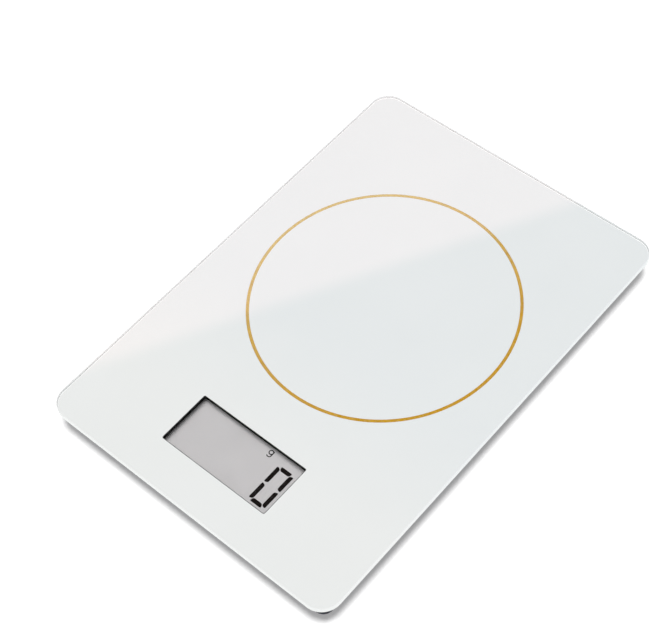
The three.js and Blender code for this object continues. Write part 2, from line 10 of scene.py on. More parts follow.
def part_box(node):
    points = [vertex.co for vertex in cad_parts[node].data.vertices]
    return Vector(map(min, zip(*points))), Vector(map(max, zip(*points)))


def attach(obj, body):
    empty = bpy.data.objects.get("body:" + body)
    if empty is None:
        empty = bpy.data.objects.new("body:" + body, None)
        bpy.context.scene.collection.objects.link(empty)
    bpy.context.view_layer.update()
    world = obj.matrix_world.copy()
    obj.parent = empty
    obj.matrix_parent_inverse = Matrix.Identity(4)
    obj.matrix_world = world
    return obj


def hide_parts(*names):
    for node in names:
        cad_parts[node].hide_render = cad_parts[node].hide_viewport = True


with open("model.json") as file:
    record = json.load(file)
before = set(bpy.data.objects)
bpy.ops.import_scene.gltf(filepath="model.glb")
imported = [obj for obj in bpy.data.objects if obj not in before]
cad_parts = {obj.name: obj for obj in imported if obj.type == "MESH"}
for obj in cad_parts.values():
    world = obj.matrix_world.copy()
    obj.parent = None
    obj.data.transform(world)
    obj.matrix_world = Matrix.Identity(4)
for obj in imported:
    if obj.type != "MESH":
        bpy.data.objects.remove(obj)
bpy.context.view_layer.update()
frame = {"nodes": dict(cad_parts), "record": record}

MM = 0.001
CORNERS = ("front_left", "front_right", "back_left", "back_right")
COVER_SCREWS = ("left_front", "right_front", "left_back", "right_back", "rear_left", "rear_right")
BOARD_SCREWS = ("left", "right")


def middle(node):
    """Centre of a CAD node's box, seen from above."""
    low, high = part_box(node)
    return (low.x + high.x) / 2, (low.y + high.y) / 2


def size_of(node):
    """Width and depth of a CAD node's box."""
    low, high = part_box(node)
    return high.x - low.x, high.y - low.y


GLASS_LOW, GLASS_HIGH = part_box("glass_platform")
FILM_LOW, FILM_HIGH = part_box("backing_film")
SHELL_LOW, SHELL_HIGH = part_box("upper_housing")
COVER_LOW, COVER_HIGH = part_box("bottom_cover")
BEZEL_LOW, BEZEL_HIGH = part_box("display_bezel")
LCD_LOW, LCD_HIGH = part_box("display_panel")
KEY_LOW, KEY_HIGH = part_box("side_key")
COVER_SCREW_PLACES = [middle("cover_screw_" + name) for name in COVER_SCREWS]
BOARD_SCREW_PLACES = [middle("board_screw_" + name) for name in BOARD_SCREWS]

PLATFORM_CORNER = 9 * MM
WINDOW_SIZE = (55 * MM, 24.75 * MM)
WINDOW_CORNER = 0.75 * MM
WINDOW_CENTRE = middle("display_bezel")
RING_WIDTH = 1.4 * MM
RING_SHIFT = 0.5 * MM  # the ring is printed a hair to the right and to the far side of its place
RING_CENTRE = [at + RING_SHIFT for at in middle("ring_print")]
FINE_QUARTER = 24  # segments in a quarter circle, for the corners that show most
KEY_Y = middle("side_key")[1]
KEY_Z = 7.5 * MM  # height of the key's middle
KEY_FACE = (4 * MM, 16 * MM)
KEY_CORNER = 1.5 * MM
BAY_CENTRE = middle("battery_door")
BAY_SIZE = (24 * MM, 26 * MM)

WALL_INSET = 5.5 * MM  # from the platform's edge in to the housing's side walls
WALL_THICKNESS = 2 * MM
WALL_CORNER = 8 * MM
DECK_BOTTOM = SHELL_HIGH.z - 1.5 * MM
COVER_TOP = SHELL_LOW.z
GAP = 0.3 * MM  # between pieces that pass or face each other
EMBED = 0.5 * MM  # how far joined shapes reach into each other
CUT_PAST = 1 * MM  # how far a cutting shape reaches past the face that it opens
FOOT_CUP = 8 * MM  # this and the three below are radii
SCREW_HOLE = 1.4 * MM
SCREW_HEAD = 2.5 * MM
BOSS = 3.25 * MM


# ---- Camera ----

def add_camera():
    """Looks down at the platform from the front right, a little rolled, with a long lens."""
    aim = Vector((-28.9, 27.4, 16)) * MM
    heading = math.radians(45.72)
    tilt = math.radians(52.88)
    roll = math.radians(6.43)
    distance = 729.7 * MM
    forward = Vector((
        -math.sin(heading) * math.cos(tilt),
        math.cos(heading) * math.cos(tilt),
        -math.sin(tilt),
    ))
    data = bpy.data.cameras.new("camera")
    data.lens = 93.32
    data.sensor_width = 36
    data.shift_x = -0.03
    data.shift_y = -0.10
    data.clip_start = 10 * MM
    camera = bpy.data.objects.new("camera", data)
    level = forward.to_track_quat("-Z", "Y")
    camera.matrix_world = (
        Matrix.Translation(aim - forward * distance)
        @ level.to_matrix().to_4x4()
        @ Matrix.Rotation(-roll, 4, "Z")
    )
    bpy.context.scene.collection.objects.link(camera)
    bpy.context.scene.camera = camera
    return camera


# ---- Outlines ----

def rounded_rect(size, corner, centre=(0, 0), segments=10):
    """Points of a rounded rectangle, anticlockwise."""
    points = []
    for quarter, (side_x, side_y) in enumerate(((1, 1), (-1, 1), (-1, -1), (1, -1))):
        middle_x = centre[0] + side_x * (size[0] / 2 - corner)
        middle_y = centre[1] + side_y * (size[1] / 2 - corner)
        for step in range(segments + 1):
            angle = math.radians(90) * (quarter + step / segments)
            points.append((middle_x + corner * math.cos(angle), middle_y + corner * math.sin(angle)))
    return points


def arc(centre, radii, start, end, steps=14):
    """Points of part of an ellipse, from one angle to another in degrees."""
    angles = [math.radians(start + (end - start) * step / steps) for step in range(steps + 1)]
    return [(centre[0] + radii[0] * math.cos(a), centre[1] + radii[1] * math.sin(a)) for a in angles]


def circle(radius, segments, centre=(0, 0)):
    return arc(centre, (radius, radius), 0, 360, segments)[:-1]


def ribbon(path, width):
    """Outline of a flat strip along a path, with square ends."""
    left, right = [], []
    for i, point in enumerate(path):
        ahead = Vector(path[min(i + 1, len(path) - 1)])
        behind = Vector(path[max(i - 1, 0)])
        along = (ahead - behind).normalized()
        across = Vector((-along.y, along.x)) * width / 2
        left.append(tuple(Vector(point) + across))
        right.append(tuple(Vector(point) - across))
    return left + right[::-1]


def soften(points, radius, steps=4):
    """The outline with each corner rounded off."""
    outline = []
    for i, point in enumerate(points):
        here = Vector(point)
        start = here + (Vector(points[i - 1]) - here).normalized() * radius
        end = here + (Vector(points[(i + 1) % len(points)]) - here).normalized() * radius
        for step in range(steps + 1):
            t = step / steps
            outline.append(tuple(start * (1 - t) ** 2 + here * 2 * t * (1 - t) + end * t ** 2))
    return outline


def at_height(points, height):
    return [(x, y, height) for x, y in points]


def rounding(radius, steps=4):
    """(inset, drop) pairs round a quarter circle, from the side face to the flat face."""
    for step in range(steps + 1):
        angle = math.radians(90) * step / steps
        yield radius * (1 - math.cos(angle)), radius * (1 - math.sin(angle))


def shrink(size, inset):
    """Width and depth less the inset on every side, or more where the inset is negative."""
    return size[0] - 2 * inset, size[1] - 2 * inset


# ---- Meshes ----

def to_mesh(bm):
    bmesh.ops.recalc_face_normals(bm, faces=bm.faces)
    mesh = bpy.data.meshes.new("mesh")
    bm.to_mesh(mesh)
    bm.free()
    return mesh


def loft(rings, closed=False):
    """A solid through rings of equal length: capped at both ends, or joined end to end."""
    bm = bmesh.new()
    rows = [[bm.verts.new(point) for point in ring] for ring in rings]
    count = len(rows[0])
    pairs = list(zip(rows, rows[1:]))
    if closed:
        pairs.append((rows[-1], rows[0]))
    for low, high in pairs:
        for i in range(count):
            j = (i + 1) % count
            bm.faces.new((low[i], low[j], high[j], high[i]))
    if not closed:
        bm.faces.new(reversed(rows[0]))
        bm.faces.new(rows[-1])
    return to_mesh(bm)


def plate(size, corner, bottom, top, low_edge, high_edge, centre=(0, 0), segments=10):
    """A rounded rectangular plate whose lower and upper rims are rounded."""
    profile = [(inset, bottom + drop) for inset, drop in rounding(low_edge)][::-1]
    profile += [(inset, top - drop) for inset, drop in rounding(high_edge)]
    return loft([
        at_height(rounded_rect(shrink(size, inset), corner - inset, centre, segments), height)
        for inset, height in profile
    ])


def block(size, bottom, top, centre=(0, 0), corner=0.2 * MM):
    outline = rounded_rect(size, corner, centre, 3)
    return loft([at_height(outline, bottom), at_height(outline, top)])


def collar(outside, inside, bottom, top):
    """A flat ring of any outline, from one height to another."""
    return loft([
        at_height(outside, bottom),
        at_height(outside, top),
        at_height(inside, top),
        at_height(inside, bottom),
    ], closed=True)


def turned(profile, centre=(0, 0), segments=64):
    """A turned solid through (radius, height) pairs, none on the axis, capped at both ends."""
    return loft([at_height(circle(radius, segments, centre), height) for radius, height in profile])


def post(centre, radius, bottom, top):
    return turned([(radius, bottom), (radius, top)], centre, 32)


def hole_cutter(radius, face, top, flare, centre):
    """A round cutter up through a face that looks down, which leaves the hole's rim rounded."""
    mouth = [(radius + inset, face + drop) for inset, drop in rounding(flare)][::-1]
    return turned([(radius + flare, face - CUT_PAST)] + mouth + [(radius, top)], centre)


def boolean(piece, meshes, operation):
    """Cuts the meshes out of the piece, or joins them to it."""
    tools = []
    for mesh in meshes:
        tool = bpy.data.objects.new("tool", mesh)
        bpy.context.scene.collection.objects.link(tool)
        tools.append(tool)
        modifier = piece.modifiers.new("boolean", "BOOLEAN")
        modifier.solver = "EXACT"
        modifier.operation = operation
        modifier.object = tool
    bpy.context.view_layer.update()
    whole = piece.evaluated_get(bpy.context.evaluated_depsgraph_get())
    piece.data = bpy.data.meshes.new_from_object(whole)
    piece.modifiers.clear()
    for tool in tools:
        bpy.data.objects.remove(tool)


def start_piece(name, mesh):
    piece = bpy.data.objects.new(name, mesh)
    bpy.context.scene.collection.objects.link(piece)
    return piece


def finish_piece(piece, materials, body, replaced=(), smooth_angle=35):
    """Shades the piece smooth between sharp edges, paints it and puts it on its body."""
    mesh = piece.data
    for material in materials:
        mesh.materials.append(MATERIALS[material])
    mesh.shade_smooth()
    mesh.set_sharp_from_angle(angle=math.radians(smooth_angle))
    flat_faces = piece.modifiers.new("flat_faces", "WEIGHTED_NORMAL")
    flat_faces.keep_sharp = True
    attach(piece, body)
    if replaced:
        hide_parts(*replaced)
    return piece


# ---- Materials ----

def mix_colours(tree, factor, first, second):
    """Goes from the first colour to the second as the factor rises. Each is a socket or three numbers."""
    node = tree.nodes.new("ShaderNodeMix")
    node.data_type = "RGBA"
    tree.links.new(factor, node.inputs[0])
    for socket, colour in ((node.inputs[6], first), (node.inputs[7], second)):
        if isinstance(colour, tuple):
            socket.default_value = (*colour, 1)
        else:
            tree.links.new(colour, socket)
    return node.outputs[2]


class Surface:
    """One material's node tree, with short calls for the nodes that most of them share."""

    def __init__(self, name, **values):
        self.material = bpy.data.materials.new(name)
        self.material.use_nodes = True
        self.tree = self.material.node_tree
        self.nodes = self.tree.nodes
        self.links = self.tree.links
        self.shader = self.nodes["Principled BSDF"]
        self.place = self.nodes.new("ShaderNodeTexCoord").outputs["Object"]
        for socket, value in values.items():
            self.shader.inputs[socket.replace("_", " ")].default_value = value

    def wire(self, output, socket):
        """Leads an output to the shader's socket of that name."""
        self.links.new(output, self.shader.inputs[socket])

    def stretched(self, factors):
        """Place on the object with each axis multiplied. A factor under 1 draws a pattern out along it."""
        mapping = self.nodes.new("ShaderNodeMapping")
        mapping.inputs["Scale"].default_value = factors
        self.links.new(self.place, mapping.inputs["Vector"])
        return mapping.outputs["Vector"]

    def noise(self, size, detail=3, place=None):
        """Noise whose blotches are about the given size, in metres."""
        node = self.nodes.new("ShaderNodeTexNoise")
        node.inputs["Scale"].default_value = 1 / size
        node.inputs["Detail"].default_value = detail
        self.links.new(place or self.place, node.inputs["Vector"])
        return node.outputs["Fac"]

    def between(self, factor, low, high, start=0.3, end=0.7):
        """A number that follows the factor from low to high."""
        node = self.nodes.new("ShaderNodeMapRange")
        node.inputs["From Min"].default_value = start
        node.inputs["From Max"].default_value = end
        node.inputs["To Min"].default_value = low
        node.inputs["To Max"].default_value = high
        self.links.new(factor, node.inputs["Value"])
        return node.outputs["Result"]

    def mix(self, factor, first, second):
        return mix_colours(self.tree, factor, first, second)

    def bump(self, height, depth):
        """Surface relief of the given depth, in metres."""
        node = self.nodes.new("ShaderNodeBump")
        node.inputs["Strength"].default_value = 1
        node.inputs["Distance"].default_value = depth
        self.links.new(height, node.inputs["Height"])
        self.wire(node.outputs["Normal"], "Normal")


def mottled(name, tones, patch, roughness, grain, relief, **values):
    """Two close tones in soft patches, with uneven gloss and a fine grain."""
    surface = Surface(name, **values)
    surface.wire(surface.mix(surface.between(surface.noise(patch), 0, 1), *tones), "Base Color")
    surface.wire(surface.between(surface.noise(patch * 0.4), *roughness), "Roughness")
    surface.bump(surface.noise(grain), relief)
    return surface.material


def brushed(name, tones, roughness):
    """Metal with fine parallel scratches along Y."""
    surface = Surface(name, Metallic=1.0)
    scratch_width = 0.12 * MM
    lines = surface.noise(scratch_width, 4, surface.stretched((1, 0.04, 1)))
    surface.wire(surface.mix(surface.between(lines, 0, 1), *tones), "Base Color")
    surface.wire(surface.between(lines, *roughness), "Roughness")
    surface.bump(lines, 0.004 * MM)
    return surface.material


def glass_material(name, roughness, tones):
    """Glass with faint smears. Lamps and the pieces' own diffuse light go straight through it."""
    surface = Surface(name, Transmission_Weight=1.0, IOR=1.5)
    smears = surface.noise(18 * MM, 5, surface.stretched((1, 2.5, 1)))
    surface.wire(surface.between(smears, *roughness, 0.5, 0.8), "Roughness")
    surface.wire(surface.mix(surface.noise(60 * MM, 1), *tones), "Base Color")
    nodes, links = surface.nodes, surface.links
    path = nodes.new("ShaderNodeLightPath")
    through = nodes.new("ShaderNodeMath")
    through.operation = "MAXIMUM"
    links.new(path.outputs["Is Shadow Ray"], through.inputs[0])
    links.new(path.outputs["Is Diffuse Ray"], through.inputs[1])
    clear = nodes.new("ShaderNodeBsdfTransparent")
    clear.inputs["Color"].default_value = (0.98, 0.985, 0.983, 1)
    blend = nodes.new("ShaderNodeMixShader")
    links.new(through.outputs[0], blend.inputs["Fac"])
    links.new(surface.shader.outputs[0], blend.inputs[1])
    links.new(clear.outputs[0], blend.inputs[2])
    links.new(blend.outputs[0], nodes["Material Output"].inputs["Surface"])
    return surface.material


def white_print_with_painted_glow():
    """Back print in a cool white. Towards the display it is painted a little lighter and warmer: a painted
    glow of warm light, not the print's own tone.

    It has no gloss of its own, because no air lies between it and the glass.
    """
    painted_glow_full_until = -70 * MM
    painted_glow_gone_from = -15 * MM
    surface = Surface("white_print_with_painted_glow", Specular_IOR_Level=0.0)
    axes = surface.nodes.new("ShaderNodeSeparateXYZ")
    surface.links.new(surface.place, axes.inputs[0])
    # Painted light: the share of the painted warm glow, full near the front edge and gone before the middle.
    painted_glow_share = surface.between(axes.outputs["Y"], 1, 0, painted_glow_full_until, painted_glow_gone_from)
    blotches = surface.between(surface.noise(30 * MM), 0, 1)
    rear = surface.mix(blotches, (0.808, 0.832, 0.840), (0.820, 0.842, 0.850))
    # The front tones are the rear ones lifted by painted warm light.
    front = surface.mix(blotches, (0.850, 0.858, 0.850), (0.860, 0.868, 0.862))
    surface.wire(surface.mix(painted_glow_share, rear, front), "Base Color")
    surface.wire(surface.between(surface.noise(12 * MM), 0.45, 0.55), "Roughness")
    surface.bump(surface.noise(0.3 * MM), 0.002 * MM)
    return surface.material


MATERIALS = {
    "glass": glass_material(
        "clear_glass", (0.0, 0.02), ((0.985, 0.995, 0.992), (0.992, 0.998, 0.996))),
    "ground_glass": glass_material(
        "ground_glass_edge", (0.35, 0.5), ((0.95, 0.98, 0.97), (0.97, 0.99, 0.985))),
    "white_print_with_painted_glow": white_print_with_painted_glow(),
    "dark_backing": mottled(
        "dark_backing", ((0.012, 0.012, 0.013), (0.02, 0.02, 0.021)), 4 * MM,
        (0.6, 0.75), 0.2 * MM, 0.01 * MM),
    # A high IOR and a tinted specular make the ink gleam like metal powder under the glass.
    "gold_ink": mottled(
        "gold_ink", ((0.67, 0.325, 0.002), (0.78, 0.395, 0.004)), 3 * MM,
        (0.1, 0.2), 0.25 * MM, 0.002 * MM, IOR=3.05, Specular_Tint=(0.28, 1, 1, 1)),
    "housing": mottled(
        "housing_plastic", ((0.010, 0.011, 0.021), (0.015, 0.016, 0.029)), 9 * MM,
        (0.42, 0.56), 0.35 * MM, 0.02 * MM, Specular_IOR_Level=0.2),
    "bezel": mottled(
        "bezel_plastic", ((0.003, 0.003, 0.003), (0.006, 0.006, 0.006)), 3 * MM,
        (0.6, 0.75), 0.25 * MM, 0.015 * MM, Specular_IOR_Level=0.1),
    "foam": mottled(
        "foam", ((0.012, 0.012, 0.013), (0.03, 0.03, 0.032)), 0.6 * MM,
        (0.85, 0.95), 0.35 * MM, 0.08 * MM),
    "lcd": mottled(
        "lcd_grey", ((0.66, 0.635, 0.645), (0.70, 0.675, 0.685)), 12 * MM,
        (0.3, 0.4), 0.15 * MM, 0.001 * MM),
    "lcd_ink": mottled(
        "lcd_ink", ((0.004, 0.003, 0.003), (0.010, 0.007, 0.006)), 1.5 * MM,
        (0.3, 0.4), 0.15 * MM, 0.001 * MM, Specular_IOR_Level=0.1),
    "rubber": mottled(
        "rubber", ((0.030, 0.031, 0.034), (0.05, 0.051, 0.055)), 3 * MM,
        (0.75, 0.9), 0.3 * MM, 0.03 * MM),
    "board": mottled(
        "circuit_board", ((0.012, 0.11, 0.035), (0.02, 0.16, 0.05)), 2.5 * MM,
        (0.3, 0.45), 0.4 * MM, 0.03 * MM, Coat_Weight=0.3),
    "epoxy": mottled(
        "epoxy", ((0.008, 0.008, 0.008), (0.016, 0.016, 0.016)), 2 * MM,
        (0.2, 0.35), 0.8 * MM, 0.03 * MM, Coat_Weight=0.3),
    "steel": brushed("steel", ((0.50, 0.51, 0.52), (0.66, 0.67, 0.68)), (0.25, 0.42)),
    "nickel": brushed("nickel", ((0.60, 0.59, 0.56), (0.74, 0.73, 0.70)), (0.16, 0.3)),
    "gauge": mottled(
        "gauge_foil", ((0.70, 0.62, 0.42), (0.80, 0.76, 0.66)), 0.8 * MM,
        (0.3, 0.5), 0.3 * MM, 0.01 * MM),
    "white_plastic": mottled(
        "white_plastic", ((0.72, 0.72, 0.71), (0.80, 0.80, 0.79)), 4 * MM,
        (0.35, 0.5), 0.3 * MM, 0.01 * MM),
    "black_wire": mottled(
        "black_wire", ((0.010, 0.010, 0.010), (0.022, 0.022, 0.022)), 3 * MM,
        (0.35, 0.5), 0.4 * MM, 0.01 * MM),
    "red_wire": mottled(
        "red_wire", ((0.36, 0.020, 0.014), (0.46, 0.035, 0.022)), 3 * MM,
        (0.35, 0.5), 0.4 * MM, 0.01 * MM),
}

SLOT_MATERIALS = {
    "glass": "glass",
    "white_film": "white_print_with_painted_glow",
    "gold_ink": "gold_ink",
    "foam_tape": "foam",
    "housing": "housing",
    "bezel": "bezel",
    "lcd": "lcd",
    "rubber": "rubber",
    "circuit_board": "board",
    "epoxy": "epoxy",
    "steel": "steel",
    "nickel": "nickel",
    "gauge_foil": "gauge",
    "white_plastic": "white_plastic",
    "white_wire": "white_plastic",
    "black_wire": "black_wire",
    "red_wire": "red_wire",
}


def paint_cad_nodes():
    """Gives each carried CAD node the procedural material of its slot."""
    slots = {part["node"]: part["material_slot"] for part in frame["record"]["subparts"]}
    for name, node in frame["nodes"].items():
        node.data.materials.clear()
        node.data.materials.append(MATERIALS[SLOT_MATERIALS[slots[name]]])


# ---- Glass, print and ring ----

def add_glass():
    """Polished faces, ground side face."""
    size = size_of("glass_platform")
    arris = 0.3 * MM
    mesh = plate(size, PLATFORM_CORNER, GLASS_LOW.z, GLASS_HIGH.z, arris, arris, segments=FINE_QUARTER)
    piece = start_piece("glass_plate", mesh)
    for face in mesh.polygons:
        upright = abs(face.normal.z) < 0.2
        face.material_index = 1 if upright else 0
    finish_piece(piece, ["glass", "ground_glass"], "base", ["glass_platform"], smooth_angle=50)


BOND = 0.02 * MM  # how far the print reaches into the glass, so that no air lies between them


def add_white_print():
    """White layer on the back of the glass, with a dark lacquer on its own back and edges.

    The white ends just short of the window, so the lacquer behind it shows as a thin dark line.
    """
    margin = 0.3 * MM
    dark_line = 0.22 * MM
    white_thickness = 0.01 * MM
    outer_size = shrink(size_of("glass_platform"), margin)
    white_window = shrink(WINDOW_SIZE, -dark_line)
    outside = rounded_rect(outer_size, PLATFORM_CORNER - margin, segments=FINE_QUARTER)
    inside = rounded_rect(WINDOW_SIZE, WINDOW_CORNER, WINDOW_CENTRE, FINE_QUARTER)
    white_inside = rounded_rect(white_window, WINDOW_CORNER, WINDOW_CENTRE, FINE_QUARTER)
    top = FILM_HIGH.z + BOND
    lacquer_top = top - white_thickness
    mesh = loft([
        at_height(outside, FILM_LOW.z),
        at_height(outside, top),
        at_height(white_inside, top),
        at_height(white_inside, lacquer_top),
        at_height(inside, lacquer_top),
        at_height(inside, FILM_LOW.z),
    ], closed=True)
    piece = start_piece("white_backing", mesh)
    for face in mesh.polygons:
        white = face.center.z > top - white_thickness / 4
        face.material_index = 0 if white else 1
    finish_piece(piece, ["white_print_with_painted_glow", "dark_backing"], "base", ["backing_film"])


def add_ring():
    """Thin ring printed on the glass before the white layer, and half sunk in that layer."""
    outer_radius = size_of("ring_print")[0] / 2
    half_thickness = 0.01 * MM
    segments = 240
    mesh = collar(
        circle(outer_radius, segments, RING_CENTRE),
        circle(outer_radius - RING_WIDTH, segments, RING_CENTRE),
        FILM_HIGH.z + BOND - half_thickness,
        FILM_HIGH.z + BOND + half_thickness,
    )
    finish_piece(start_piece("printed_ring", mesh), ["gold_ink"], "base", ["ring_print"])


# ---- Display ----

def add_bezel():
    """Black frame round the display, with a pocket below for the display glass."""
    outer = size_of("display_bezel")
    opening = shrink(WINDOW_SIZE, -GAP)
    pocket = shrink(size_of("display_panel"), -GAP)
    play = 0.02 * MM
    seat = LCD_HIGH.z + play
    lip = 0.25 * MM
    profile = [
        (outer, BEZEL_LOW.z),
        (outer, BEZEL_HIGH.z - lip),
        (shrink(outer, lip), BEZEL_HIGH.z),
        (shrink(opening, -lip), BEZEL_HIGH.z),
        (opening, BEZEL_HIGH.z - lip),
        (opening, seat),
        (pocket, seat),
        (pocket, BEZEL_LOW.z),
    ]
    mesh = loft(
        [at_height(rounded_rect(size, WINDOW_CORNER, WINDOW_CENTRE), height) for size, height in profile],
        closed=True,
    )
    return finish_piece(start_piece("display_recess", mesh), ["bezel"], "base", ["display_bezel"])


def add_gasket():
    """Foam that closes the gap between the recess and the white layer."""
    width = 3 * MM
    set_back = 0.1 * MM
    outer_corner = 1.5 * MM
    outside = rounded_rect(shrink(WINDOW_SIZE, -width), outer_corner, WINDOW_CENTRE)
    inside = rounded_rect(shrink(WINDOW_SIZE, -set_back), WINDOW_CORNER, WINDOW_CENTRE)
    mesh = collar(outside, inside, BEZEL_HIGH.z, FILM_LOW.z)
    return finish_piece(start_piece("window_gasket", mesh), ["foam"], "base")


def add_lcd():
    """Front glass that overhangs the rear one to show its contacts."""
    size = size_of("display_panel")
    centre = middle("display_panel")
    between = (LCD_LOW.z + LCD_HIGH.z) / 2
    overhang = 4 * MM
    overlap = 0.1 * MM
    piece = start_piece("lcd_panel", block(size, between, LCD_HIGH.z, centre))
    rear_centre = (centre[0], centre[1] + overhang / 2)
    rear = block((size[0], size[1] - overhang), LCD_LOW.z, between + overlap, rear_centre)
    boolean(piece, [rear], "UNION")
    return finish_piece(piece, ["lcd"], "base", ["display_panel"])


# Corners of the digit and centre of the unit sign, counted from the middle of the window.
DIGIT_LOW = Vector(WINDOW_CENTRE) + Vector((16.6, -10.6)) * MM
DIGIT_HIGH = Vector(WINDOW_CENTRE) + Vector((25.1, 8.3)) * MM
GRAM_CENTRE = Vector(WINDOW_CENTRE) + Vector((10.4, 10.55)) * MM
BAR_WIDTH = 1.85 * MM


def bar(start, end, outward):
    """A display segment: its outer side runs from start to end, and its inner side is shorter."""
    start, end, outward = Vector(start), Vector(end), Vector(outward)
    mitre = (end - start).normalized() * BAR_WIDTH * 0.35
    inward = -outward * BAR_WIDTH
    corner = 0.75 * MM
    return soften([start, end, end - mitre + inward, start + mitre + inward], corner)


def zero_bars():
    """The six lit bars of a 0."""
    (left, front), (right, back) = DIGIT_LOW, DIGIT_HIGH
    middle_y = (front + back) / 2
    end_gap = 0.75 * MM
    half_gap = 0.22 * MM
    side = 1.35 * MM
    for x, outward in ((left, (-1, 0)), (right, (1, 0))):
        yield bar((x, front + end_gap), (x, middle_y - half_gap), outward)
        yield bar((x, middle_y + half_gap), (x, back - end_gap), outward)
    for y, outward in ((front, (0, -1)), (back, (0, 1))):
        yield bar((left + side, y), (right - side, y), outward)


def gram_strokes():
    """The unit sign beside the digit: a bowl, and a stem with a hook."""
    stroke = 0.45 * MM
    radius = 0.95 * MM
    hook_depth = 0.75 * MM
    hook_centre = (GRAM_CENTRE.x, GRAM_CENTRE.y - 1.45 * MM)
    yield ribbon(arc(GRAM_CENTRE, (radius, radius), 0, 350), stroke)
    stem = [(GRAM_CENTRE.x + radius, GRAM_CENTRE.y + radius)]
    stem += arc(hook_centre, (radius, hook_depth), 0, -150)
    yield ribbon(stem, stroke)


def add_readout():
    """The lit digit and the unit sign, as thin solids just above the display glass."""
    clearance = 0.005 * MM
    thickness = 0.02 * MM
    low = LCD_HIGH.z + clearance
    high = low + thickness
    bm = bmesh.new()
    for outline in [*zero_bars(), *gram_strokes()]:
        bm.from_mesh(loft([at_height(outline, low), at_height(outline, high)]))
    return finish_piece(start_piece("lcd_readout", to_mesh(bm)), ["lcd_ink"], "base")


# ---- Housing ----

def sensor_pocket(corner):
    """Walls round a load cell, and the two bars that it bears on."""
    node = "load_cell_" + corner
    centre = middle(node)
    low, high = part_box(node)
    top = DECK_BOTTOM + EMBED
    wall = 1.5 * MM
    bar_depth = 3 * MM
    inside = shrink(size_of(node), -GAP)
    inner_outline = rounded_rect(inside, 0.5 * MM, centre, 4)
    outer_outline = rounded_rect(shrink(inside, -wall), 1 * MM, centre, 4)
    yield collar(outer_outline, inner_outline, low.z, top)
    bar_y = (high.y - low.y - bar_depth) / 2
    for side in (-1, 1):
        bar_centre = (centre[0], centre[1] + side * bar_y)
        yield block((inside[0] + 2 * EMBED, bar_depth), high.z, top, bar_centre)


def stiffening_ribs():
    """Two ribs along the deck, behind the display, and two across it."""
    thickness = 1.5 * MM
    low = DECK_BOTTOM - 1.5 * MM
    high = DECK_BOTTOM + EMBED
    for x in (-22 * MM, 22 * MM):
        yield block((thickness, 122 * MM), low, high, (x, 24 * MM))
    for y in (0, 60 * MM):
        yield block((128 * MM, thickness), low, high, (0, y))


def key_slot():
    """Cutter for the key's opening in the right-hand wall."""
    depth = 8 * MM
    face = rounded_rect(shrink(KEY_FACE, -GAP), KEY_CORNER + GAP, (KEY_Z, KEY_Y))
    reach = (SHELL_HIGH.x - depth, SHELL_HIGH.x + CUT_PAST)
    return loft([[(x, y, z) for z, y in face] for x in reach])


def shell_outlines():
    """Outlines up the outside of the walls and the deck, down the display hole and down the inside."""
    deck = size_of("upper_housing")
    deck_corner = 4.6 * MM
    wall = shrink(size_of("glass_platform"), WALL_INSET)
    rim = 0.3 * MM
    levels = [(shrink(wall, i), WALL_CORNER - i, SHELL_LOW.z + d) for i, d in rounding(rim)][::-1]
    levels.append((wall, WALL_CORNER, DECK_BOTTOM))
    levels += [(shrink(deck, i), deck_corner - i, DECK_BOTTOM + d) for i, d in rounding(rim)][::-1]
    levels += [(shrink(deck, i), deck_corner - i, SHELL_HIGH.z - d) for i, d in rounding(rim)]
    outside = [at_height(rounded_rect(size, corner), height) for size, corner, height in levels]
    hole = rounded_rect(shrink(size_of("display_bezel"), -GAP), 0.5 * MM, WINDOW_CENTRE)
    inner_wall = rounded_rect(shrink(wall, WALL_THICKNESS), WALL_CORNER - WALL_THICKNESS)
    return outside + [
        at_height(hole, SHELL_HIGH.z),
        at_height(hole, DECK_BOTTOM),
        at_height(inner_wall, DECK_BOTTOM),
        at_height(inner_wall, SHELL_LOW.z),
    ]


def add_upper_housing():
    """Deck that carries the glass, side walls, and everything moulded inside them."""
    piece = start_piece("housing_shell", loft(shell_outlines(), closed=True))
    top = DECK_BOTTOM + EMBED
    board_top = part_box("main_board")[1].z
    added = [solid for corner in CORNERS for solid in sensor_pocket(corner)]
    added += stiffening_ribs()
    added += [post(place, BOSS, COVER_TOP + 1 * MM, top) for place in COVER_SCREW_PLACES]
    added += [post(place, BOSS, board_top, top) for place in BOARD_SCREW_PLACES]
    boolean(piece, added, "UNION")
    hole_top = DECK_BOTTOM - 0.5 * MM
    cuts = [
        post(place, SCREW_HOLE, COVER_TOP - CUT_PAST, hole_top)
        for place in COVER_SCREW_PLACES + BOARD_SCREW_PLACES
    ]
    boolean(piece, cuts + [key_slot()], "DIFFERENCE")
    finish_piece(piece, ["housing"], "base", ["upper_housing"])


def cover_additions():
    """The lip that fits inside the housing's walls, the bay's box, and the bosses for the screws."""
    low = COVER_TOP - EMBED
    wall = 1.5 * MM
    lip = shrink(size_of("glass_platform"), WALL_INSET + WALL_THICKNESS + GAP)
    lip_corner = WALL_CORNER - WALL_THICKNESS - GAP
    lip_inside = rounded_rect(shrink(lip, wall), lip_corner - wall)
    yield collar(rounded_rect(lip, lip_corner), lip_inside, low, COVER_TOP + 1.5 * MM)
    yield block(shrink(BAY_SIZE, -wall), low, COVER_HIGH.z, BAY_CENTRE, 1 * MM)
    for place in COVER_SCREW_PLACES:
        yield post(place, BOSS, low, COVER_TOP + 1 * MM)


